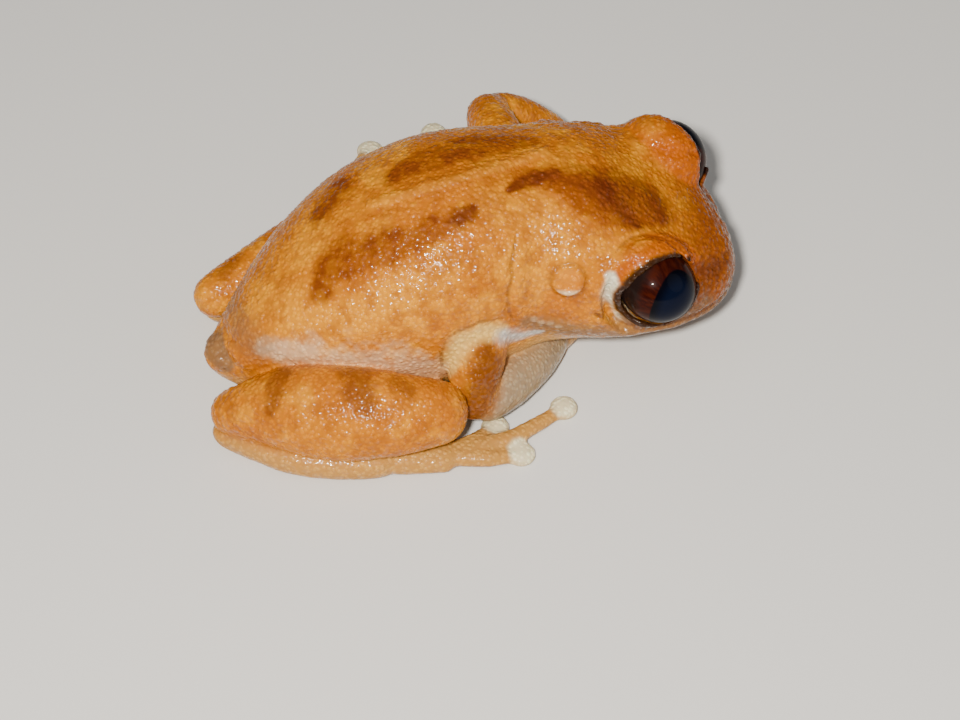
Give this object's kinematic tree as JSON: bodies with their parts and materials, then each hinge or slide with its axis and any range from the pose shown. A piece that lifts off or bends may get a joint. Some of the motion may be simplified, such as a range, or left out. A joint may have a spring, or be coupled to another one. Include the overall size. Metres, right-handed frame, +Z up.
{
  "type": "uluguru tree frog",
  "caption": "Plump brown-orange tree frog with large dark eyes, crouched with folded legs and toe discs on the ground; a life-size still model.",
  "frame": {"origin": "middle of the underside of the whole frog's box, on the surface it rests on", "axes": "+X towards the snout and along the longest extent, +Y to the frog's left, +Z up"},
  "size_m": [0.0484, 0.0444, 0.0203],
  "materials": {
    "back_skin": "moist, finely granular skin",
    "limb_skin": "moist, smooth skin",
    "pale_skin": "moist, smooth pale skin",
    "ear_skin": "thin skin over the ear",
    "eye": "wet and clear"
  },
  "bodies": {
    "root": {"torso": "back_skin", "head": "back_skin", "eye_left": "eye", "eye_right": "eye", "tympanum_left": "ear_skin", "tympanum_right": "ear_skin", "upper_arm_left": "limb_skin", "upper_arm_right": "limb_skin", "forearm_left": "pale_skin", "forearm_right": "pale_skin", "hand_left": "pale_skin", "hand_right": "pale_skin", "thigh_left": "limb_skin", "thigh_right": "limb_skin", "shank_left": "limb_skin", "shank_right": "limb_skin", "tarsus_left": "pale_skin", "tarsus_right": "pale_skin", "foot_left": "pale_skin", "foot_right": "pale_skin"}
  },
  "joints": []
}
